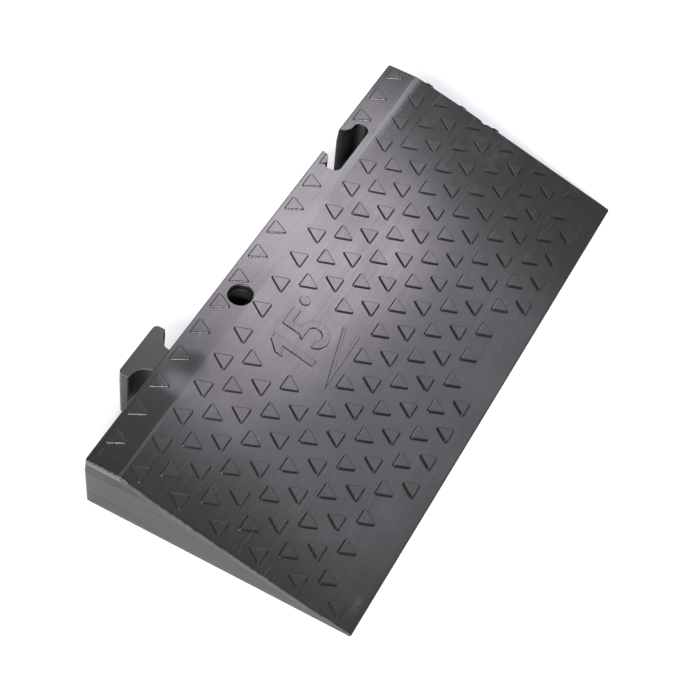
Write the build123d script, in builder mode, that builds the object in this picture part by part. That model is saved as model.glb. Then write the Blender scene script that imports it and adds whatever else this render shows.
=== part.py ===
from build123d import *

import os
from math import cos, radians, sin, sqrt, tan

# Portable wheelchair ramp: a hollow, ribbed wedge moulded in black plastic.
# +X runs along the 500 mm side, +Y points to the high back wall, +Z is up.
# The origin is on the floor, under the middle of the whole object.

# Outer shape
body_length = 500.0
body_depth = 230.0
body_height = 55.0
strip_width = 30.0
slope_angle = 15.0
parting_height = 41.0
upper_draft = 4.0
lower_draft = 2.0
corner_radius = 3.0
edge_radius = 1.2
ridge_radius = 10.0

# Walls and ribs of the hollow underside
skin = 5.0
wall = 5.0
rib = 3.0
toe_bar_depth = 25.0
skin_joint = 7.0
bay_count = 11
long_rib_setbacks = {"ridge_rib": 36.0, "middle_rib": 92.0, "front_rib": 147.0}

# Connector tongue, and the socket that takes the tongue of a second ramp
connector_offset = 138.3
tongue_reach = 23.0
tongue_neck = 24.8
tongue_width = 55.7
tongue_arc = 12.7
tongue_drop = 4.0
tongue_end_corner = 4.3
tongue_inner_corner = 1.8
tongue_draft = 1.5
socket_gap = 2.4
socket_end_gap = 0.7

# Fixing hole
hole_x = -52.0
hole_setback = 20.5
hole_radius = 10.0
hole_lip = 1.3
boss_radius = 14.0
boss_groove = 0.8
seat_height = 8.0
screw_radius = 5.5

# Raised triangular studs
stud_side = 18.0
stud_corner = 1.2
stud_draft = 20.0
stud_pitch = 30.64
stud_row_count = 11
strip_stud_height = 1.0
toe_stud_height = 2.4
first_stud_x = -220.65
strip_row_setback = 10.5
first_row_run = 11.1
end_gap = 0.8
stud_columns = 16
socket_column = 12
marked_columns = {2: {5, 6}, 3: {5, 6, 7}, 4: {5, 6}, 5: {5, 6, 7}}
rows_with_end_stud = {1, 3, 5}
toe_columns = {0, 4, 5, 6, 7, 11, 12, 13, 14}

# Raised slope marking
mark_height = 0.9
mark_stroke = 7.0
mark_line = 3.0
digit_height = 40.0
digit_top_run = 30.7
one_x = -68.1
flag_reach = 8.5
flag_tip_drop = 9.0
flag_root_drop = 11.0
flag_foot_drop = 16.0
five_x = -45.0
bowl_radius = 13.0
bowl_gap_height = 9.0
bowl_gap_rise = 1.5
bowl_gap_shift = 1.0
five_stem_rise = 6.0
five_stem_shift = 4.5
five_bar_length = 20.0
five_bar_shift = 8.0
degree_x = -22.7
degree_radius = 4.6
angle_apex_x = -83.0
angle_base_run = 88.8
angle_leg = 60.5

total_depth = body_depth + tongue_reach
toe_y = -total_depth / 2
back_y = toe_y + body_depth
ridge_y = back_y - strip_width
half_length = body_length / 2
toe_bar_y = toe_y + toe_bar_depth
joint_y = ridge_y - skin_joint
hole_y = back_y - hole_setback
slope = tan(radians(slope_angle))
tongue_x = -connector_offset
socket_x = connector_offset
row_pitch = stud_pitch / sqrt(3)
lower_inset = parting_height * tan(radians(lower_draft))
far = 2 * body_length
clear = 1.0

strip_plane = Plane.XY.offset(body_height)
slope_plane = Plane(
    origin=(0, ridge_y, body_height),
    x_dir=(1, 0, 0),
    z_dir=(0, -sin(radians(slope_angle)), cos(radians(slope_angle))),
)


def slab(x_low, x_high, y_low, y_high, z_low=-far, z_high=far):
    """A plain block between two limits along each axis, for cutting regions."""
    centre = ((x_low + x_high) / 2, (y_low + y_high) / 2, (z_low + z_high) / 2)
    with BuildPart() as block:
        with Locations(centre):
            Box(x_high - x_low, y_high - y_low, z_high - z_low)
    return block.part


def make_envelope():
    """The outer wedge: drafted both ways from the parting plane, then cut to the slope."""
    front = toe_y - lower_inset
    with BuildPart() as wedge:
        with BuildSketch(Plane.XY.offset(parting_height)) as plan:
            with Locations((0, (back_y + front) / 2)):
                RectangleRounded(body_length, back_y - front, corner_radius)
        extrude(plan.sketch, amount=body_height - parting_height, taper=upper_draft)
        extrude(plan.sketch, amount=-parting_height, taper=lower_draft)
        with BuildSketch(Plane.YZ) as above_slope:
            with BuildLine():
                Polyline(
                    (ridge_y, body_height),
                    (toe_y - far, body_height - slope * (ridge_y - toe_y + far)),
                    (toe_y - far, body_height + far),
                    (ridge_y, body_height + far),
                    close=True,
                )
            make_face()
        extrude(above_slope.sketch, amount=far, both=True, mode=Mode.SUBTRACT)
        top_faces = [strip_face(wedge), slope_face(wedge)]
        ridge = top_faces[0].edges().sort_by(Axis.Y)[0]
        fillet(ridge, radius=ridge_radius)
        rim = [
            edge
            for edge in strip_face(wedge).edges() + slope_face(wedge).edges()
            if abs(edge.center().Y - ridge_y) > 2 * clear and edge.center().Z > 2 * clear
        ]
        fillet(rim, radius=edge_radius)
    return wedge.part


def strip_face(body):
    return body.faces().sort_by(Axis.Z)[-1]


def slope_face(body):
    return body.faces().sort_by(lambda face: face.normal_at().dot(slope_plane.z_dir))[-1]


def make_under_skin(x_low, x_high, y_high):
    """The space below the skin, behind the toe bar, between the given limits."""
    inner_ridge_y = ridge_y + skin * tan(radians(slope_angle / 2))
    inner_top = body_height - skin
    inner_toe_z = inner_top - (inner_ridge_y - toe_bar_y) * slope
    with BuildPart() as space:
        with BuildSketch(Plane.YZ.offset(x_low)):
            with BuildLine():
                Polyline(
                    (toe_bar_y, 0),
                    (toe_bar_y, inner_toe_z),
                    (inner_ridge_y, inner_top),
                    (y_high, inner_top),
                    (y_high, 0),
                    close=True,
                )
            make_face()
        extrude(amount=x_high - x_low)
    return space.part


def connector_outline(gap, end_gap, overlap):
    """Plan of the tongue, pointing along +Y from its root, grown by a clearance."""
    shoulder = tongue_neck / 2 + tongue_arc
    half_width = tongue_width / 2 + gap
    inner_y = tongue_arc - gap
    reach = tongue_reach + end_gap
    with BuildSketch() as outline:
        with Locations((0, (inner_y - overlap) / 2)):
            Rectangle(2 * shoulder, inner_y + overlap)
        with Locations((-shoulder, 0), (shoulder, 0)):
            Circle(tongue_arc - gap, mode=Mode.SUBTRACT)
        with Locations((0, (inner_y + reach) / 2)):
            Rectangle(2 * half_width, reach - inner_y)
        ends = outline.vertices().group_by(Axis.Y)[-1]
        fillet(ends, radius=tongue_end_corner + gap)
        sides = outline.vertices().group_by(Axis.X)
        inner = [sides[0].sort_by(Axis.Y)[0], sides[-1].sort_by(Axis.Y)[0]]
        fillet(inner, radius=tongue_inner_corner + gap)
    return outline.sketch


def make_tongue_block(envelope, thinner):
    """The tongue as a solid, or its inside when thinner is the wall to leave."""
    top = body_height - tongue_drop
    level = Plane((tongue_x, back_y, parting_height))
    with BuildPart() as block:
        with BuildSketch(level) as plan:
            add(connector_outline(0, 0, wall + thinner))
            if thinner:
                offset(amount=-thinner, mode=Mode.REPLACE)
        if thinner:
            extrude(plan.sketch, amount=far, both=True)
        else:
            extrude(plan.sketch, amount=top - parting_height, taper=tongue_draft)
            extrude(plan.sketch, amount=-parting_height, taper=tongue_draft)
            fillet(block.faces().sort_by(Axis.Z)[-1].edges(), radius=edge_radius / 2)
        add(envelope, mode=Mode.SUBTRACT)
    return block.part


def make_socket_void():
    with BuildPart() as void:
        with BuildSketch(Plane((socket_x, back_y, 0), x_dir=(-1, 0, 0), z_dir=(0, 0, 1))):
            add(connector_outline(socket_gap, socket_end_gap, wall))
        extrude(amount=body_height + clear, both=True)
    return void.part


def make_hole_cutter():
    """A rounded mouth and a plain bore through the skin."""
    with BuildPart() as cutter:
        with BuildSketch(Plane.XZ):
            with BuildLine():
                Polyline(
                    (0, body_height + clear),
                    (0, 0),
                    (hole_radius, 0),
                    (hole_radius, body_height - hole_lip),
                )
                RadiusArc(
                    (hole_radius, body_height - hole_lip),
                    (hole_radius + hole_lip, body_height),
                    hole_lip,
                )
                Polyline(
                    (hole_radius + hole_lip, body_height),
                    (hole_radius + hole_lip, body_height + clear),
                    (0, body_height + clear),
                )
            make_face()
        revolve(axis=Axis.Z)
    return cutter.part.moved(Location((hole_x, hole_y, 0)))


def save(builder, name):
    builder.part.label = name
    export_step(builder.part, f"parts/{name}.step")


def make_shell(envelope, under_skin, socket_void):
    """The walking surface and the solid toe, in three lengths down the slope."""
    with BuildPart() as top_deck:
        add(envelope)
        add(under_skin, mode=Mode.SUBTRACT)
        add(socket_void, mode=Mode.SUBTRACT)
        add(make_hole_cutter(), mode=Mode.SUBTRACT)
        add(slab(-far, far, joint_y, far), mode=Mode.INTERSECT)
    save(top_deck, "top_deck")
    with BuildPart() as slope_panel:
        add(envelope)
        add(under_skin, mode=Mode.SUBTRACT)
        add(slab(-far, far, toe_bar_y, joint_y), mode=Mode.INTERSECT)
    save(slope_panel, "slope_panel")
    with BuildPart() as toe_bar:
        add(envelope)
        add(slab(-far, far, -far, toe_bar_y), mode=Mode.INTERSECT)
    save(toe_bar, "toe_bar")


def make_walls(envelope, under_skin, socket_void):
    inner_x = half_length - wall
    inner_y = back_y - wall
    pocket_half = tongue_width / 2 + socket_gap + wall
    pocket_y = back_y - tongue_reach - socket_end_gap - wall
    socket_block = slab(socket_x - pocket_half, socket_x + pocket_half, pocket_y, far)
    regions = {
        "left_end_wall": slab(-far, -inner_x, -far, far),
        "right_end_wall": slab(inner_x, far, -far, far),
        "back_wall_long": slab(-inner_x, socket_x - pocket_half, inner_y, far),
        "back_wall_short": slab(socket_x + pocket_half, inner_x, inner_y, far),
    }
    for name, region in regions.items():
        with BuildPart() as side:
            add(envelope)
            add(under_skin, mode=Mode.INTERSECT)
            add(region, mode=Mode.INTERSECT)
        save(side, name)
    with BuildPart() as socket_wall:
        add(envelope)
        add(under_skin, mode=Mode.INTERSECT)
        add(socket_block, mode=Mode.INTERSECT)
        add(socket_void, mode=Mode.SUBTRACT)
    save(socket_wall, "socket_wall")
    return socket_block


def make_tongue(envelope):
    cap_z = body_height - tongue_drop - skin
    block = make_tongue_block(envelope, 0)
    inside = make_tongue_block(envelope, wall)
    with BuildPart() as tongue_cap:
        add(block)
        add(slab(-far, far, -far, far, cap_z), mode=Mode.INTERSECT)
    save(tongue_cap, "tongue_cap")
    with BuildPart() as tongue_wall:
        add(block)
        add(slab(-far, far, -far, far, -far, cap_z), mode=Mode.INTERSECT)
        add(inside, mode=Mode.SUBTRACT)
    save(tongue_wall, "tongue_wall")


def make_fixing_boss(under_skin):
    """A tube under the hole, with a screw seat at its foot and a groove round its top."""
    standing = (Align.CENTER, Align.CENTER, Align.MIN)
    groove_z = body_height - skin - 2 * boss_groove
    with BuildPart() as fixing_boss:
        with Locations((hole_x, hole_y, 0)):
            Cylinder(boss_radius, body_height, align=standing)
        add(under_skin, mode=Mode.INTERSECT)
        with Locations((hole_x, hole_y, seat_height)):
            Cylinder(hole_radius, body_height, align=standing, mode=Mode.SUBTRACT)
        with Locations((hole_x, hole_y, groove_z)):
            Cone(
                hole_radius,
                hole_radius + boss_groove,
                2 * boss_groove,
                align=standing,
                mode=Mode.SUBTRACT,
            )
        with Locations((hole_x, hole_y, 0)):
            Cylinder(screw_radius, body_height, mode=Mode.SUBTRACT)
    save(fixing_boss, "fixing_boss")


def make_ribs(cavity, socket_block):
    bay = body_length / bay_count
    cross_x = [bay * (number + 1) - half_length for number in range(bay_count - 1)]
    cross_slabs = [slab(x - rib / 2, x + rib / 2, -far, far) for x in cross_x]
    for number, cross_slab in enumerate(cross_slabs, start=1):
        with BuildPart() as cross_rib:
            add(cavity)
            add(cross_slab, mode=Mode.INTERSECT)
            add(socket_block, mode=Mode.SUBTRACT)
        save(cross_rib, f"cross_rib_{number:02d}")
    for name, setback in long_rib_setbacks.items():
        with BuildPart() as long_rib:
            add(cavity)
            add(slab(-far, far, back_y - setback - rib, back_y - setback), mode=Mode.INTERSECT)
            for cross_slab in cross_slabs:
                add(cross_slab, mode=Mode.SUBTRACT)
        save(long_rib, name)


def stud_outline():
    with BuildSketch() as outline:
        RegularPolygon(radius=stud_side / sqrt(3), side_count=3, rotation=90)
        fillet(outline.vertices(), radius=stud_corner)
    return outline.sketch


def make_stud_row(name, plane, centres, height, turn, cutter=None):
    outline = stud_outline()
    side = half_length - end_gap
    with BuildPart() as row:
        with BuildSketch(plane) as plan:
            with Locations(*centres):
                add(outline, rotation=turn)
        extrude(plan.sketch, amount=height, taper=stud_draft)
        add(slab(-side, side, -far, far), mode=Mode.INTERSECT)
        if cutter:
            add(cutter, mode=Mode.SUBTRACT)
    save(row, name)


def make_studs(socket_void):
    """One row on the strip, then rows down the slope that alternate in direction."""
    strip = [
        (first_stud_x + stud_pitch * column, back_y - strip_row_setback)
        for column in range(stud_columns)
        if column != socket_column
    ]
    make_stud_row("deck_studs", strip_plane, strip, strip_stud_height, 180, socket_void)
    run_length = (body_depth - strip_width) / cos(radians(slope_angle))
    for row in range(1, stud_row_count + 1):
        points_back = row % 2 == 1
        start = first_stud_x - stud_pitch / 2 if points_back else first_stud_x
        columns = set(range(stud_columns)) - marked_columns.get(row, set())
        if row in rows_with_end_stud:
            columns.add(stud_columns)
        if row == stud_row_count:
            columns = toe_columns
        run = first_row_run + row_pitch * (row - 1)
        height = strip_stud_height + (toe_stud_height - strip_stud_height) * run / run_length
        centres = [(start + stud_pitch * column, -run) for column in sorted(columns)]
        turn = 0 if points_back else 180
        make_stud_row(f"tread_studs_row_{row:02d}", slope_plane, centres, height, turn)


def make_marking():
    """The slope angle in plain figures, with an angle sign below them."""
    top = -digit_top_run
    bottom = top - digit_height
    half = mark_stroke / 2
    flag_x = one_x - half - flag_reach
    bowl_y = bottom + bowl_radius
    stem_foot = bowl_y + five_stem_rise
    bar_x = five_x - five_bar_shift + five_bar_length / 2
    with BuildPart() as slope_figures:
        with BuildSketch(slope_plane):
            with Locations((one_x, (top + bottom) / 2)):
                Rectangle(mark_stroke, digit_height)
            with BuildLine():
                Polyline(
                    (one_x - half, top),
                    (flag_x, top - flag_tip_drop),
                    (flag_x, top - flag_foot_drop),
                    (one_x - half, top - flag_root_drop),
                    close=True,
                )
            make_face()
            with Locations((five_x, bowl_y)):
                Circle(bowl_radius)
                Circle(bowl_radius - mark_stroke, mode=Mode.SUBTRACT)
            with Locations((five_x - bowl_radius / 2 - bowl_gap_shift, bowl_y + bowl_gap_rise)):
                Rectangle(bowl_radius, bowl_gap_height, mode=Mode.SUBTRACT)
            with Locations((five_x - five_stem_shift, (top + stem_foot) / 2)):
                Rectangle(mark_stroke, top - stem_foot)
            with Locations((bar_x, top - half)):
                Rectangle(five_bar_length, mark_stroke)
            with Locations((degree_x, top - degree_radius)):
                Circle(degree_radius)
        extrude(amount=mark_height)
    save(slope_figures, "slope_figures")

    end_x = angle_apex_x + angle_leg
    base = -angle_base_run
    raised = base + angle_leg * slope
    notch_x = end_x - (raised - 2 * mark_line - base) / slope
    with BuildPart() as angle_sign:
        with BuildSketch(slope_plane):
            with BuildLine():
                Polyline(
                    (angle_apex_x, base),
                    (end_x, base),
                    (end_x, base + mark_line),
                    (notch_x, base + mark_line),
                    (end_x, raised - mark_line),
                    (end_x, raised),
                    close=True,
                )
            make_face()
        extrude(amount=mark_height)
    save(angle_sign, "angle_sign")


os.makedirs("parts", exist_ok=True)
outer_wedge = make_envelope()
open_underside = make_under_skin(-far, far, far)
rib_cavity = make_under_skin(-half_length + wall, half_length - wall, back_y - wall)
socket_cut = make_socket_void()
make_shell(outer_wedge, open_underside, socket_cut)
socket_region = make_walls(outer_wedge, open_underside, socket_cut)
make_tongue(outer_wedge)
make_fixing_boss(open_underside)
make_ribs(rib_cavity, socket_region)
make_studs(socket_cut)
make_marking()
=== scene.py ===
from math import cos, pi, radians, sin, sqrt, tan

import bmesh
import bpy
from mathutils import Matrix, Vector


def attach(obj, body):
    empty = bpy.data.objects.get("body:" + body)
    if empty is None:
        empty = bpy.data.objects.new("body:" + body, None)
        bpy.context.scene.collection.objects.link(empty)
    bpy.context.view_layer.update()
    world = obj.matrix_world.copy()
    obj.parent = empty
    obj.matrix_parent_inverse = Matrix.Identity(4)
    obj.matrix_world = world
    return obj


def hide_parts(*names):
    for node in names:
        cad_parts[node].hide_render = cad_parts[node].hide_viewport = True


# Portable wheelchair ramp: the looks of a black moulded plastic wedge.
# The long side runs along X, the high back wall is at +Y and the floor is at Z = 0.
# All lengths are in metres.

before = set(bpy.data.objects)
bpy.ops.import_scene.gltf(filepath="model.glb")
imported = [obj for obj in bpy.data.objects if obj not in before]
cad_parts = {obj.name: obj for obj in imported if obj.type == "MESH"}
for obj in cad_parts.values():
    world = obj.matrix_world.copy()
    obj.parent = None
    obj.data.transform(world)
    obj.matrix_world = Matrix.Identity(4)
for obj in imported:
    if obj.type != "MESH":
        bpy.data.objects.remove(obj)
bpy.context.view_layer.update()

half_length = 0.25
ridge_y = 0.0735
back_y = 0.1035
top_z = 0.055
slope = radians(15)
touch = 0.00001
down_slope = Vector((0, -cos(slope), -sin(slope)))
slope_normal = Vector((0, -sin(slope), cos(slope)))


# ---------------------------------------------------------------- small helpers


def clear_selection():
    if bpy.context.object and bpy.context.object.mode != "OBJECT":
        bpy.ops.object.mode_set(mode="OBJECT")
    bpy.ops.object.select_all(action="DESELECT")


def take(*pieces):
    """Select these pieces only, with the first one active."""
    clear_selection()
    for piece in pieces:
        piece.select_set(True)
    bpy.context.view_layer.objects.active = pieces[0]


def pick(piece, kind, wanted):
    """In edit mode, select the faces or edges that pass a test."""
    mesh = bmesh.from_edit_mesh(piece.data)
    modes = {"faces": "FACE", "edges": "EDGE"}
    bpy.ops.mesh.select_mode(type=modes[kind])
    bpy.ops.mesh.select_all(action="DESELECT")
    for item in getattr(mesh, kind):
        item.select_set(wanted(item))
    mesh.select_flush_mode()
    bmesh.update_edit_mesh(piece.data)


def settle(piece, smooth_angle):
    """Put the place into the mesh, face it outwards and shade it."""
    take(piece)
    bpy.ops.object.transform_apply(location=True, rotation=True, scale=True)
    bpy.ops.object.mode_set(mode="EDIT")
    bpy.ops.mesh.select_all(action="SELECT")
    bpy.ops.mesh.remove_doubles(threshold=0.000001)
    bpy.ops.mesh.normals_make_consistent(inside=False)
    bpy.ops.object.mode_set(mode="OBJECT")
    bpy.ops.object.shade_smooth_by_angle(angle=radians(smooth_angle))
    flat = piece.modifiers.new("flat_faces", "WEIGHTED_NORMAL")
    flat.keep_sharp = True
    flat.weight = 100
    flat.thresh = 0.000001
    bpy.ops.object.modifier_apply(modifier=flat.name)


def finish_piece(piece, slot, material, *nodes):
    """Give a piece its finish, its place on the body and the nodes that it stands for."""
    piece.data.materials.clear()
    piece.data.materials.append(material)
    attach(piece, "root")
    if nodes:
        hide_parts(*nodes)


def copy_of(piece, name):
    """A copy with a mesh of its own."""
    twin = piece.copy()
    twin.data = piece.data.copy()
    twin.name = name
    bpy.context.scene.collection.objects.link(twin)
    return twin


# ---------------------------------------------------------------- finishes


class Wiring:
    """Adds nodes to a tree and joins each one to what feeds it."""

    def __init__(self, tree):
        self.tree = tree

    def node(self, kind, feeds=None, **settings):
        made = self.tree.nodes.new(kind)
        for name, value in settings.items():
            setattr(made, name, value)
        for name, value in (feeds or {}).items():
            self.feed(made.inputs[name], value)
        return made

    def feed(self, socket, value):
        if isinstance(value, bpy.types.NodeSocket):
            self.tree.links.new(value, socket)
        else:
            socket.default_value = value

    def sum(self, operation, *values, clamp=False):
        feeds = dict(enumerate(values))
        return self.node("ShaderNodeMath", feeds, operation=operation, use_clamp=clamp).outputs[0]

    def noise(self, vector, scale, detail=2.0, roughness=0.5, distortion=0.0):
        feeds = {
            "Vector": vector,
            "Scale": scale,
            "Detail": detail,
            "Roughness": roughness,
            "Distortion": distortion,
        }
        return self.node("ShaderNodeTexNoise", feeds).outputs["Fac"]

    def stretch(self, vector, scale, turn=(0, 0, 0)):
        feeds = {"Vector": vector, "Scale": scale, "Rotation": turn}
        return self.node("ShaderNodeMapping", feeds).outputs[0]

    def ramp(self, value, low, high, to_low=0.0, to_high=1.0):
        feeds = {"Value": value, "From Min": low, "From Max": high, "To Min": to_low, "To Max": to_high}
        made = self.node("ShaderNodeMapRange", interpolation_type="SMOOTHSTEP", clamp=True)
        for name, item in feeds.items():
            self.feed(made.inputs[name], item)
        return made.outputs[0]

    def blend(self, share, first, second):
        """Mix two colours; the sockets are those of a colour mix: factor 0, A 6, B 7, result 2."""
        made = self.node("ShaderNodeMix", data_type="RGBA")
        self.feed(made.inputs[0], share)
        self.feed(made.inputs[6], first)
        self.feed(made.inputs[7], second)
        return made.outputs[2]

    def facing(self):
        """The direction that a face looks in, as X, Y and Z."""
        direction = self.node("ShaderNodeNewGeometry").outputs["Normal"]
        return self.node("ShaderNodeSeparateXYZ", {0: direction}).outputs

    def spot(self, place, centre, reach):
        """1 at the centre of an oval spot, fading to 0 at its reach."""
        moved = self.node("ShaderNodeVectorMath", {0: place, 1: centre}, operation="SUBTRACT").outputs[0]
        sized = self.node("ShaderNodeVectorMath", {0: moved, 1: reach}, operation="DIVIDE").outputs[0]
        far = self.node("ShaderNodeVectorMath", {0: sized}, operation="LENGTH").outputs["Value"]
        return self.ramp(far, 1.0, 0.0)


def new_group(name, inputs, outputs):
    """An empty node group with its wiring, and the sockets at its two ends."""
    group = bpy.data.node_groups.new(name, "ShaderNodeTree")
    for label, kind, value in inputs:
        socket = group.interface.new_socket(name=label, in_out="INPUT", socket_type=kind)
        if value is not None:
            socket.default_value = value
    for label, kind in outputs:
        group.interface.new_socket(name=label, in_out="OUTPUT", socket_type=kind)
    wires = Wiring(group)
    start = group.nodes.new("NodeGroupInput")
    end = group.nodes.new("NodeGroupOutput")
    return group, wires, start.outputs, end.inputs


def flow_streaks():
    """Fine lines drawn along the length, and the soft clouds of the moulding flow."""
    group, wires, given, wanted = new_group(
        "flow_streaks",
        [("Place", "NodeSocketVector", None), ("Fineness", "NodeSocketFloat", 1.0)],
        [("Streaks", "NodeSocketFloat"), ("Hairs", "NodeSocketFloat"), ("Clouds", "NodeSocketFloat")],
    )
    broad = wires.noise(wires.stretch(given["Place"], (8, 420, 420)), given["Fineness"], 5, 0.62, 0.15)
    fine = wires.noise(wires.stretch(given["Place"], (16, 1100, 1100)), given["Fineness"], 3, 0.6)
    wires.feed(wanted["Streaks"], wires.ramp(broad, 0.3, 0.72))
    wires.feed(wanted["Hairs"], wires.ramp(fine, 0.34, 0.7))
    wires.feed(wanted["Clouds"], wires.ramp(wires.noise(given["Place"], 17, 5, 0.55, 0.6), 0.3, 0.72))
    return group


def moulding_grain():
    """The fine uneven skin of moulded plastic, as a height."""
    group, wires, given, wanted = new_group(
        "moulding_grain",
        [("Place", "NodeSocketVector", None), ("Coarseness", "NodeSocketFloat", 1.0)],
        [("Height", "NodeSocketFloat")],
    )
    pebble = wires.noise(given["Place"], wires.sum("MULTIPLY", given["Coarseness"], 900), 3, 0.6)
    drift = wires.noise(given["Place"], wires.sum("MULTIPLY", given["Coarseness"], 150), 2, 0.5)
    wires.feed(wanted["Height"], wires.sum("MULTIPLY_ADD", drift, 1.6, pebble))
    return group


def rub_marks():
    """Scattered scratches in three directions, denser in patches."""
    group, wires, given, wanted = new_group(
        "rub_marks",
        [("Place", "NodeSocketVector", None), ("Amount", "NodeSocketFloat", 0.5)],
        [("Mask", "NodeSocketFloat")],
    )
    sets = []
    for turn, size in ((24, (34, 900, 260)), (-37, (46, 1300, 300)), (82, (60, 1500, 300))):
        lines = wires.noise(wires.stretch(given["Place"], size, (0, 0, radians(turn))), 1.0, 1.5, 0.5)
        sets.append(wires.ramp(lines, 0.67, 0.76))
    patches = wires.ramp(wires.noise(given["Place"], 26, 2, 0.5), 0.45, 0.62)
    both = wires.sum("MAXIMUM", wires.sum("MAXIMUM", sets[0], sets[1]), sets[2])
    shown = wires.sum("MULTIPLY", both, patches)
    wires.feed(wanted["Mask"], wires.sum("MULTIPLY", shown, given["Amount"], clamp=True))
    return group


def edge_rub():
    """Paler, broken wear that fades with the distance from an edge."""
    group, wires, given, wanted = new_group(
        "edge_rub",
        [
            ("Place", "NodeSocketVector", None),
            ("Distance", "NodeSocketFloat", 1.0),
            ("Width", "NodeSocketFloat", 0.002),
        ],
        [("Mask", "NodeSocketFloat")],
    )
    near = wires.ramp(wires.sum("DIVIDE", given["Distance"], given["Width"]), 1.0, 0.0)
    broken = wires.ramp(wires.noise(given["Place"], 210, 4, 0.65), 0.38, 0.62)
    wires.feed(wanted["Mask"], wires.sum("MULTIPLY", near, broken))
    return group


groups = {made.name: made for made in (flow_streaks(), moulding_grain(), rub_marks(), edge_rub())}


def use(wires, name, **feeds):
    """Put one of the groups into a finish."""
    made = wires.node("ShaderNodeGroup", node_tree=groups[name])
    for label, value in feeds.items():
        wires.feed(made.inputs[label], value)
    return made.outputs


def start_finish(name):
    """A new plastic with its uniform values set, ready for its wiring."""
    material = bpy.data.materials.new(name)
    material.use_nodes = True
    wires = Wiring(material.node_tree)
    shader = material.node_tree.nodes["Principled BSDF"]
    shader.inputs["IOR"].default_value = 1.5
    shader.inputs["Specular IOR Level"].default_value = 0.5
    shader.inputs["Coat Roughness"].default_value = 0.12
    place = wires.node("ShaderNodeTexCoord").outputs["Object"]
    return material, wires, shader, place


def bumps(wires, shader, layers):
    """A chain of bumps, each with its height in metres."""
    normal = None
    for height, depth in layers:
        feeds = {"Height": height, "Distance": depth, "Strength": 1.0}
        if normal:
            feeds["Normal"] = normal
        normal = wires.node("ShaderNodeBump", feeds).outputs[0]
    wires.feed(shader.inputs["Normal"], normal)


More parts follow.
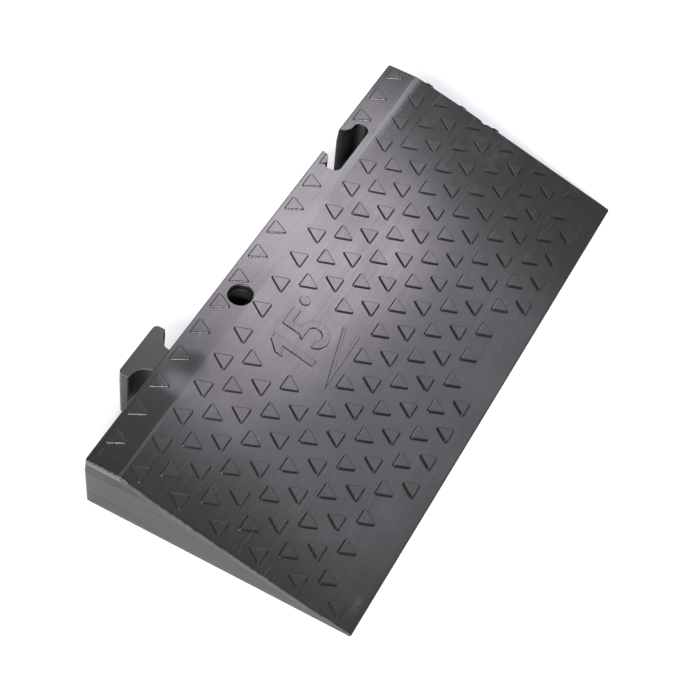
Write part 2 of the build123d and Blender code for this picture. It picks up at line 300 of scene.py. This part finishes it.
def tread_finish(name, stud=False):
    """Walking surface: satin black with drawn streaks, a rubbed ridge and worn ends."""
    material, wires, shader, place = start_finish(name)
    axes = wires.node("ShaderNodeSeparateXYZ", {0: place}).outputs
    flow = use(wires, "flow_streaks", Place=place)
    grain = use(wires, "moulding_grain", Place=place)
    scratches = use(wires, "rub_marks", Place=place, Amount=0.35)["Mask"]
    from_end = wires.sum("SUBTRACT", half_length, wires.sum("ABSOLUTE", axes["X"]))
    ends = use(wires, "edge_rub", Place=place, Distance=from_end, Width=0.0018)["Mask"]

    # rubbed line along the ridge, wider and brighter towards the right-hand end
    from_ridge = wires.sum("SUBTRACT", axes["Y"], ridge_y - 0.0004)
    along = wires.ramp(axes["X"], -0.12, 0.15)
    reach = wires.ramp(axes["X"], 0.02, 0.13, 0.0016, 0.0062)
    across = wires.sum("DIVIDE", wires.sum("ABSOLUTE", from_ridge), reach)
    hairs = wires.noise(wires.stretch(place, (7, 1500, 700)), 1.0, 3, 0.6)
    line = wires.ramp(across, 1.0, 0.2)
    drawn = wires.sum("MULTIPLY", line, wires.ramp(hairs, 0.42, 0.66))
    ridge = wires.sum("MULTIPLY", drawn, wires.sum("MULTIPLY_ADD", along, 0.75, 0.25))

    scuffs = wires.spot(place, (-0.2235, -0.1185, 0.004), (0.013, 0.0045, 0.006))
    scuffs = wires.sum("MULTIPLY", scuffs, wires.ramp(wires.noise(place, 500, 4, 0.7), 0.3, 0.7))
    patch = wires.spot(place, (0.222, -0.01, 0.03), (0.03, 0.045, 0.02))
    patch = wires.sum("MULTIPLY", patch, wires.ramp(wires.noise(place, 120, 5, 0.7), 0.42, 0.66))

    wear_and_highlight = wires.sum("MULTIPLY_ADD", scratches, 0.5, wires.sum("MULTIPLY", ends, 0.22))
    wear_and_highlight = wires.sum("MULTIPLY_ADD", scuffs, 0.2, wear_and_highlight)
    wear_and_highlight = wires.sum("MULTIPLY_ADD", patch, 0.1, wear_and_highlight)
    # painted highlight: a pale line along the left-hand end edge of the strip, mixed in with the real
    # wear
    lip = wires.ramp(wires.sum("ADD", axes["X"], half_length), 0.0012, 0.0004)
    lip = wires.sum("MULTIPLY", lip, wires.ramp(axes["Y"], ridge_y - 0.003, ridge_y))
    wear_and_highlight = wires.sum("MULTIPLY_ADD", lip, 0.8, wear_and_highlight)
    wear_and_highlight = wires.sum("ADD", wear_and_highlight, wires.sum("MULTIPLY", ridge, 0.95), clamp=True)
    mottle = wires.sum("MULTIPLY_ADD", flow["Clouds"], 0.55, wires.sum("MULTIPLY", flow["Streaks"], 0.45))
    end_face = wires.ramp(wires.sum("ABSOLUTE", wires.facing()["X"]), 0.7, 0.95)
    body = wires.blend(mottle, (0.0045, 0.0045, 0.005, 1), (0.0095, 0.0095, 0.0105, 1))
    body = wires.blend(end_face, body, (0.016, 0.0155, 0.0155, 1))
    # the pale mix holds real wear and the painted highlight along the strip's end edge
    pale = wires.blend(wear_and_highlight, body, (0.17, 0.168, 0.175, 1))
    wires.feed(shader.inputs["Base Color"], pale)

    rough = wires.sum("MULTIPLY_ADD", flow["Hairs"], 0.05, 0.15 + (0.02 if stud else 0))
    rough = wires.sum("MULTIPLY_ADD", flow["Clouds"], -0.035, rough)
    rough = wires.sum("MULTIPLY_ADD", wear_and_highlight, 0.25, rough)
    wires.feed(shader.inputs["Roughness"], wires.sum("MULTIPLY_ADD", end_face, 0.17, rough))
    coat = wires.sum("MULTIPLY_ADD", flow["Streaks"], 0.12, 0.12)
    coat = wires.sum("MULTIPLY_ADD", flow["Clouds"], 0.12, coat)
    coat = wires.sum("MULTIPLY_ADD", wear_and_highlight, -0.3, coat, clamp=True)
    wires.feed(shader.inputs["Coat Weight"], coat)

    # sink mark over the root of the tongue
    dip = wires.spot(place, (-0.142, 0.081, 0.055), (0.026, 0.02, 0.03))
    swell = wires.noise(place, 11, 2, 0.4)
    bumps(
        wires,
        shader,
        [
            (wires.sum("MULTIPLY", dip, -1), 0.0005),
            (swell, 0.0003),
            (flow["Streaks"], 0.0000015),
            (grain["Height"], 0.0000015),
            (wires.sum("MULTIPLY", wear_and_highlight, -1), 0.00001),
        ],
    )
    return material


def wall_finish(name):
    """Outer walls: satin black with faint level lines, a rubbed foot and a painted highlight on the
    rounded rims.
    """
    material, wires, shader, place = start_finish(name)
    axes = wires.node("ShaderNodeSeparateXYZ", {0: place}).outputs
    level_lines = wires.stretch(place, (1, 0.05, 1), (radians(8), 0, 0))
    drag = use(wires, "flow_streaks", Place=level_lines, Fineness=0.8)
    flow = use(wires, "flow_streaks", Place=place, Fineness=0.6)
    grain = use(wires, "moulding_grain", Place=place)
    scratches = use(wires, "rub_marks", Place=place, Amount=0.5)["Mask"]
    foot = use(wires, "edge_rub", Place=place, Distance=axes["Z"], Width=0.006)["Mask"]

    # only a rounded rim is tilted; every other face stands upright or lies level, so the tilt picks out
    # the rims for a painted highlight
    tilt = wires.sum("ABSOLUTE", wires.sum("SUBTRACT", wires.facing()["Z"], 0.6))
    rim = wires.ramp(tilt, 0.38, 0.22)
    wear_and_highlight = wires.sum("MULTIPLY_ADD", scratches, 0.4, wires.sum("MULTIPLY", foot, 0.3))
    wear_and_highlight = wires.sum("MULTIPLY_ADD", rim, 0.8, wear_and_highlight, clamp=True)
    mottle = wires.sum("MULTIPLY_ADD", flow["Clouds"], 0.6, wires.sum("MULTIPLY", drag["Streaks"], 0.4))
    body = wires.blend(mottle, (0.011, 0.0105, 0.0105, 1), (0.021, 0.0205, 0.0205, 1))
    # the pale mix holds real wear and the painted highlight on the rims
    wires.feed(shader.inputs["Base Color"], wires.blend(wear_and_highlight, body, (0.14, 0.138, 0.14, 1)))
    rough = wires.sum("MULTIPLY_ADD", flow["Clouds"], 0.08, 0.33)
    wires.feed(shader.inputs["Roughness"], wires.sum("MULTIPLY_ADD", wear_and_highlight, 0.2, rough))
    wires.feed(shader.inputs["Coat Weight"], wires.sum("MULTIPLY_ADD", drag["Streaks"], 0.2, 0.05))
    bumps(
        wires,
        shader,
        [
            (wires.noise(place, 13, 2, 0.4), 0.0005),
            (drag["Streaks"], 0.000005),
            (grain["Height"], 0.000007),
        ],
    )
    return material


def underside_finish(name):
    """Ribs and boss: the duller inside of the moulding, with flow marks."""
    material, wires, shader, place = start_finish(name)
    flow = use(wires, "flow_streaks", Place=place, Fineness=0.35)
    grain = use(wires, "moulding_grain", Place=place, Coarseness=0.7)
    scratches = use(wires, "rub_marks", Place=place, Amount=0.3)["Mask"]
    body = wires.blend(flow["Clouds"], (0.01, 0.01, 0.0105, 1), (0.02, 0.02, 0.021, 1))
    dust = wires.sum("MULTIPLY_ADD", flow["Streaks"], 0.05, scratches, clamp=True)
    wires.feed(shader.inputs["Base Color"], wires.blend(dust, body, (0.13, 0.128, 0.125, 1)))
    wires.feed(shader.inputs["Roughness"], wires.sum("MULTIPLY_ADD", flow["Clouds"], 0.14, 0.36))
    bumps(wires, shader, [(flow["Clouds"], 0.00004), (grain["Height"], 0.000012)])
    return material


tread = tread_finish("tread_plastic")
stud_face = tread_finish("stud_plastic", stud=True)
marking_face = tread_finish("marking_plastic", stud=True)
wall = wall_finish("wall_plastic")
underside = underside_finish("underside_plastic")


# ---------------------------------------------------------------- raised studs

stud_side = 0.018
stud_foot_radius = 0.0005
stud_rim_radius = 0.0008
stud_corner_radius = 0.0005
stud_draft = radians(20)
stud_bury = 0.0003
stud_pitch = 0.03064
first_stud_x = -0.22065
row_pitch = stud_pitch / sqrt(3)
strip_stud_height = 0.001
toe_stud_height = 0.0024
stud_columns = 16
socket_column = 12
marked_columns = {2: {5, 6}, 3: {5, 6, 7}, 4: {5, 6}, 5: {5, 6, 7}}
rows_with_end_stud = {1, 3, 5}
toe_columns = {0, 4, 5, 6, 7, 11, 12, 13, 14}


def make_stud(name, height):
    """One stud: a three-cornered block with drafted sides, a hollow-rounded foot and a rounded rim."""
    clear_selection()
    foot = stud_foot_radius
    rim = stud_rim_radius

    # each rounding is two straight steps, given as shares of its radius: one near level, one steep
    level_in, level_up = 0.574, 0.181
    steep_in, steep_up = 0.366, 0.477
    rise = height - (level_up + steep_up) * (foot + rim)
    steps = [
        (level_in * foot, level_up * foot),
        (steep_in * foot, steep_up * foot),
        (rise * tan(stud_draft), rise),
        (steep_in * rim, steep_up * rim),
        (level_in * rim, level_up * rim),
    ]
    corner = stud_corner_radius + sum(inward for inward, upward in steps)
    reach = stud_side / sqrt(3) + foot
    bpy.ops.mesh.primitive_cylinder_add(
        vertices=3, radius=reach, depth=stud_bury, location=(0, 0, -stud_bury / 2)
    )
    stud = bpy.context.object
    stud.name = name
    bpy.ops.object.transform_apply(location=True, rotation=True, scale=True)
    bpy.ops.object.mode_set(mode="EDIT")
    pick(stud, "edges", lambda edge: abs(edge.verts[0].co.z - edge.verts[1].co.z) > stud_bury / 2)
    bpy.ops.mesh.bevel(offset=corner * sqrt(3), offset_type="WIDTH", segments=3, affect="EDGES")
    pick(stud, "faces", lambda face: face.normal.z > 0.9)
    for inward, upward in steps:
        bpy.ops.mesh.inset(thickness=inward, depth=upward)
    bpy.ops.object.mode_set(mode="OBJECT")
    return stud


def place_stud(model, name, x, origin, along, normal, apex_back):
    """Stand a copy of a stud at a point on the deck or the slope."""
    right = Vector((1, 0, 0))
    back = normal.cross(right)
    if not apex_back:
        right, back = -right, -back
    twin = copy_of(model, name)
    turn = Matrix((right, back, normal)).transposed().to_4x4()
    twin.data.transform(Matrix.Translation(origin + Vector((x, 0, 0)) + along) @ turn)
    return twin


def trim_beyond_end(piece):
    """Cut off what stands past the right-hand end."""
    take(piece)
    bpy.ops.object.mode_set(mode="EDIT")
    bpy.ops.mesh.select_all(action="SELECT")
    end = (half_length - 0.0008, 0, 0)
    bpy.ops.mesh.bisect(plane_co=end, plane_no=(1, 0, 0), clear_outer=True, use_fill=True)
    bpy.ops.object.mode_set(mode="OBJECT")


def cut_with_drum(piece, operation, radius, depth, centre, sides):
    """Keep or take away what an upright drum covers."""
    clear_selection()
    bpy.ops.mesh.primitive_cylinder_add(vertices=sides, radius=radius, depth=depth, location=centre)
    drum = bpy.context.object
    take(piece)
    cut = piece.modifiers.new("drum_cut", "BOOLEAN")
    cut.operation = operation
    cut.object = drum
    bpy.ops.object.modifier_apply(modifier=cut.name)
    bpy.data.objects.remove(drum)


def join_row(copies, name, node):
    """Join one row's studs into the piece that stands for its node."""
    take(*copies)
    bpy.ops.object.join()
    row = bpy.context.object
    row.name = name
    settle(row, 50)
    finish_piece(row, "stud_plastic", stud_face, node)
    return row


def make_strip_studs():
    """The single row on the flat strip, with none over the socket."""
    model = make_stud("strip_stud", strip_stud_height)
    origin = Vector((0, back_y - 0.0105, top_z))
    upward = Vector((0, 0, 1))
    copies = []
    for column in range(stud_columns):
        if column == socket_column:
            continue
        x = first_stud_x + stud_pitch * column
        copies.append(place_stud(model, f"strip_stud_{column}", x, origin, Vector(), upward, False))

    # the stud at the left of the socket keeps only what stands on the rounded lip
    lip_centre = (0.1132, back_y, top_z)
    cut_with_drum(copies[11], "INTERSECT", 0.0103, 0.01, lip_centre, 64)
    join_row(copies, "strip_studs", "deck_studs")
    bpy.data.objects.remove(model)


def make_slope_studs():
    """Eleven rows down the slope, taller towards the toe, with room for the marking."""
    slope_origin = Vector((0, ridge_y, top_z))
    run_length = 0.2 / cos(slope)
    for row in range(1, 12):
        apex_back = row % 2 == 1
        start = first_stud_x - stud_pitch / 2 if apex_back else first_stud_x
        columns = set(range(stud_columns)) - marked_columns.get(row, set())
        if row in rows_with_end_stud:
            columns.add(stud_columns)
        if row == 11:
            columns = toe_columns
        run = 0.0111 + row_pitch * (row - 1)
        height = strip_stud_height + (toe_stud_height - strip_stud_height) * run / run_length
        model = make_stud("slope_stud", height)
        copies = []
        for column in sorted(columns):
            x = start + stud_pitch * column
            name = f"slope_stud_{row}_{column}"
            twin = place_stud(model, name, x, slope_origin, down_slope * run, slope_normal, apex_back)
            if column == stud_columns:
                trim_beyond_end(twin)
            copies.append(twin)
        join_row(copies, f"slope_studs_row_{row:02d}", f"tread_studs_row_{row:02d}")
        bpy.data.objects.remove(model)


# ---------------------------------------------------------------- raised marking


def round_edges(node, name, slot, material, width, chosen):
    """A copy of a moulded piece with the chosen ones of its sharp edges rounded."""
    piece = copy_of(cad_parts[node], name)
    piece.parent = None
    for key in [key for key in piece.keys() if key.startswith("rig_")]:
        del piece[key]
    take(piece)
    if piece.data.has_custom_normals:
        bpy.ops.mesh.customdata_custom_splitnormals_clear()
    bpy.ops.object.mode_set(mode="EDIT")
    bpy.ops.mesh.select_all(action="SELECT")
    bpy.ops.mesh.remove_doubles(threshold=0.0001)
    bpy.ops.mesh.dissolve_limited(angle_limit=radians(2))

    def sharp(edge):
        return len(edge.link_faces) == 2 and edge.calc_face_angle() > radians(40) and chosen(edge)

    pick(piece, "edges", sharp)
    bpy.ops.mesh.bevel(offset=width, segments=3, affect="EDGES", clamp_overlap=False)
    bpy.ops.object.mode_set(mode="OBJECT")
    settle(piece, 40)
    finish_piece(piece, slot, material, node)
    return piece


def above_slope(corner):
    """How far a corner stands above the plane of the slope."""
    return (corner.co - Vector((0, ridge_y, top_z))).dot(slope_normal)


def on_marking_rim(edge):
    return all(above_slope(corner) > 0.0004 for corner in edge.verts)


def on_deck_rim(edge):
    level = all(corner.co.z > top_z - touch for corner in edge.verts)
    return level and any(corner.co.y > ridge_y + 0.0001 for corner in edge.verts)


def on_slope_end(edge):
    at_end = all(abs(corner.co.x) > half_length - touch for corner in edge.verts)
    return at_end and all(above_slope(corner) > -touch for corner in edge.verts)


def chip_far_edge(piece):
    """Knock a small nick out of the panel's right-hand edge."""
    run = 0.0715
    centre = (half_length + 0.0012, ridge_y - run * cos(slope), top_z - run * sin(slope))
    cut_with_drum(piece, "DIFFERENCE", 0.0038, 0.02, centre, 24)
    settle(piece, 40)


# ---------------------------------------------------------------- studio


def soft_box(name, centre, size, strength, tilt=(0, 0, 0), colour=(1, 1, 1)):
    """A rectangular lamp; its strength is the brightness that a mirror would show."""
    light = bpy.data.lights.new(name, "AREA")
    light.shape = "RECTANGLE"
    light.size, light.size_y = size
    light.energy = pi * strength * size[0] * size[1]
    light.color = colour
    lamp = bpy.data.objects.new(name, light)
    lamp.location = centre
    lamp.rotation_euler = tilt
    bpy.context.scene.collection.objects.link(lamp)
    return lamp


def make_studio():
    """Pale floor, soft air, three nested soft boxes at the right and a strip light at the left."""
    clear_selection()
    bpy.ops.mesh.primitive_plane_add(size=9)
    floor = bpy.context.object
    floor.name = "studio_floor"
    bpy.ops.object.mode_set(mode="EDIT")
    bpy.ops.mesh.subdivide(number_cuts=3)
    bpy.ops.object.mode_set(mode="OBJECT")
    paper = bpy.data.materials.new("white_paper")
    paper.use_nodes = True
    shader = paper.node_tree.nodes["Principled BSDF"]
    shader.inputs["Base Color"].default_value = (0.96, 0.96, 0.96, 1)
    shader.inputs["Roughness"].default_value = 0.95
    shader.inputs["Specular IOR Level"].default_value = 0.1
    floor.data.materials.append(paper)

    world = bpy.data.worlds.new("studio_air")
    world.use_nodes = True
    world.node_tree.nodes["Background"].inputs["Color"].default_value = (0.985, 0.985, 1.0, 1)
    world.node_tree.nodes["Background"].inputs["Strength"].default_value = 0.52
    bpy.context.scene.world = world

    cool = (1.02, 0.95, 1.05)
    turned = (0, 0, radians(-9))
    soft_box("wide_soft_box", (1.25, 0.07, 1.62), (0.82, 1.72), 1.7, turned, cool)
    soft_box("middle_soft_box", (1.2, 0.22, 1.6), (0.77, 1.26), 2.2, turned, cool)
    soft_box("bright_soft_box", (1.26, 0.16, 1.58), (0.42, 1.22), 3.4, turned, cool)
    fill = soft_box("left_strip_light", (-2.5, -0.4, 1.95), (3.4, 0.2), 66)
    aim = Vector((0, 0, 0)) - fill.location
    fill.rotation_euler = aim.to_track_quat("-Z", "Y").to_euler()


def make_camera():
    """A long lens from the left-hand end, well above the ramp and slightly rolled."""
    azimuth, elevation, roll = radians(-70.0), radians(52.28), radians(9.763)
    target = Vector((-0.0139, -0.0026, 0))
    distance = 1.513
    back = Vector((sin(azimuth) * cos(elevation), -cos(azimuth) * cos(elevation), sin(elevation)))
    right = (-back).cross(Vector((0, 0, 1))).normalized()
    up = back.cross(right)
    across = cos(roll) * right + sin(roll) * up
    upward = cos(roll) * up - sin(roll) * right
    lens = bpy.data.cameras.new("camera")
    lens.lens = 94.57
    lens.sensor_width = 36
    camera = bpy.data.objects.new("camera", lens)
    turn = Matrix((across, upward, back)).transposed().to_4x4()
    camera.matrix_world = Matrix.Translation(target + back * distance) @ turn
    bpy.context.scene.collection.objects.link(camera)
    bpy.context.scene.camera = camera


# ---------------------------------------------------------------- put together

node_finishes = {
    "top_deck": tread,
    "slope_panel": tread,
    "toe_bar": tread,
    "left_end_wall": wall,
    "right_end_wall": wall,
    "back_wall_long": wall,
    "back_wall_short": wall,
    "socket_wall": wall,
    "tongue_wall": wall,
    "tongue_cap": wall,
}

clear_selection()
for node_name, node_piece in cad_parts.items():
    node_piece.data.materials.clear()
    node_piece.data.materials.append(node_finishes.get(node_name, underside))

bpy.context.scene.view_settings.view_transform = "Standard"
make_camera()
make_studio()
make_strip_studs()
make_slope_studs()
round_edges("slope_figures", "raised_figures", "marking_plastic", marking_face, 0.0006, on_marking_rim)
round_edges("angle_sign", "raised_angle_sign", "marking_plastic", marking_face, 0.0005, on_marking_rim)
round_edges("top_deck", "rounded_top_deck", "tread_plastic", tread, 0.0006, on_deck_rim)
panel = round_edges("slope_panel", "rounded_slope_panel", "tread_plastic", tread, 0.0006, on_slope_end)
chip_far_edge(panel)
clear_selection()
